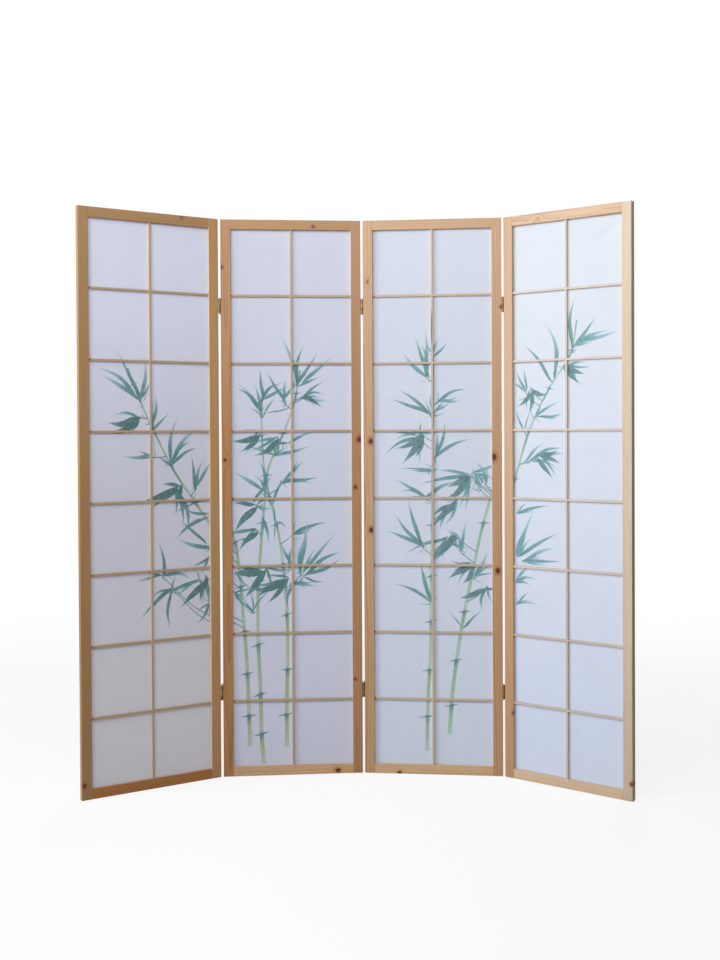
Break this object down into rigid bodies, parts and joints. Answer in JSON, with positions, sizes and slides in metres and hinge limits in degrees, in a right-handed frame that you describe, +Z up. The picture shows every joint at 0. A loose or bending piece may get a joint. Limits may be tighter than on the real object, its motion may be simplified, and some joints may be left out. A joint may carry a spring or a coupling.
{
  "type": "folding screen",
  "caption": "Free-standing folding screen: light wood lattice panels backed with white bamboo-printed paper sheets, joined edge to edge by brass hinges that fold both ways.",
  "frame": {"origin": "on the floor, under the middle of the standing screen's plan box", "axes": "+Z up, the screen's front faces -Y, and +X runs from the first panel to the fourth, left to right as seen from the front"},
  "size_m": [1.6626, 0.3332, 1.78],
  "materials": {
    "frame_wood": "clear satin lacquer on planed softwood",
    "lattice_wood": "clear satin lacquer on planed softwood",
    "paper": "matt fibrous paper with a printed bamboo pattern",
    "hinge_brass": "brushed and lightly aged",
    "screw_steel": "brass plated"
  },
  "bodies": {
    "panel_1": {"panel_1_left_stile": "frame_wood", "panel_1_right_stile": "frame_wood", "panel_1_top_rail": "frame_wood", "panel_1_bottom_rail": "frame_wood", "panel_1_upright_bar": "lattice_wood", "panel_1_crossbars": "lattice_wood", "panel_1_paper": "paper", "panel_1_side_beads": "lattice_wood", "panel_1_end_beads": "lattice_wood", "hinge_12_left_leaves": "hinge_brass", "hinge_12_left_screws": "screw_steel"},
    "panel_2": {"panel_2_left_stile": "frame_wood", "panel_2_right_stile": "frame_wood", "panel_2_top_rail": "frame_wood", "panel_2_bottom_rail": "frame_wood", "panel_2_upright_bar": "lattice_wood", "panel_2_crossbars": "lattice_wood", "panel_2_paper": "paper", "panel_2_side_beads": "lattice_wood", "panel_2_end_beads": "lattice_wood", "hinge_12_right_leaves": "hinge_brass", "hinge_12_right_screws": "screw_steel", "hinge_23_left_leaves": "hinge_brass", "hinge_23_left_screws": "screw_steel"},
    "panel_3": {"panel_3_left_stile": "frame_wood", "panel_3_right_stile": "frame_wood", "panel_3_top_rail": "frame_wood", "panel_3_bottom_rail": "frame_wood", "panel_3_upright_bar": "lattice_wood", "panel_3_crossbars": "lattice_wood", "panel_3_paper": "paper", "panel_3_side_beads": "lattice_wood", "panel_3_end_beads": "lattice_wood", "hinge_23_right_leaves": "hinge_brass", "hinge_23_right_screws": "screw_steel", "hinge_34_left_leaves": "hinge_brass", "hinge_34_left_screws": "screw_steel"},
    "panel_4": {"panel_4_left_stile": "frame_wood", "panel_4_right_stile": "frame_wood", "panel_4_top_rail": "frame_wood", "panel_4_bottom_rail": "frame_wood", "panel_4_upright_bar": "lattice_wood", "panel_4_crossbars": "lattice_wood", "panel_4_paper": "paper", "panel_4_side_beads": "lattice_wood", "panel_4_end_beads": "lattice_wood", "hinge_34_right_leaves": "hinge_brass", "hinge_34_right_screws": "screw_steel"},
    "hinge_12_link": {"hinge_12_webs": "hinge_brass", "hinge_12_front_pins": "hinge_brass", "hinge_12_rear_pins": "hinge_brass"},
    "hinge_23_link": {"hinge_23_webs": "hinge_brass", "hinge_23_front_pins": "hinge_brass", "hinge_23_rear_pins": "hinge_brass"},
    "hinge_34_link": {"hinge_34_webs": "hinge_brass", "hinge_34_front_pins": "hinge_brass", "hinge_34_rear_pins": "hinge_brass"}
  },
  "joints": [
    {"name": "rear_fold_12", "type": "hinge", "parent": "panel_2", "child": "hinge_12_link", "pos_m": [-0.44451, 0.12448, 0.27], "axis": [0, 0, 1], "range_deg": [-180, 0]},
    {"name": "front_fold_12", "type": "hinge", "parent": "hinge_12_link", "child": "panel_1", "pos_m": [-0.44268, 0.10356, 0.27], "axis": [0, 0, 1], "range_deg": [-27.5, 152.5]},
    {"name": "front_fold_23", "type": "hinge", "parent": "panel_2", "child": "hinge_23_link", "pos_m": [0.0076, 0.14295, 0.27], "axis": [0, 0, 1], "range_deg": [-139, 11]},
    {"name": "rear_fold_23", "type": "hinge", "parent": "hinge_23_link", "child": "panel_3", "pos_m": [0.0098, 0.16384, 0.27], "axis": [0, 0, 1], "range_deg": [0, 180]},
    {"name": "front_fold_34", "type": "hinge", "parent": "panel_3", "child": "hinge_34_link", "pos_m": [0.45713, 0.0957, 0.27], "axis": [0, 0, -1], "range_deg": [-30, 150]},
    {"name": "rear_fold_34", "type": "hinge", "parent": "hinge_34_link", "child": "panel_4", "pos_m": [0.46947, 0.1127, 0.27], "axis": [0, 0, -1], "range_deg": [-180, 0]}
  ]
}
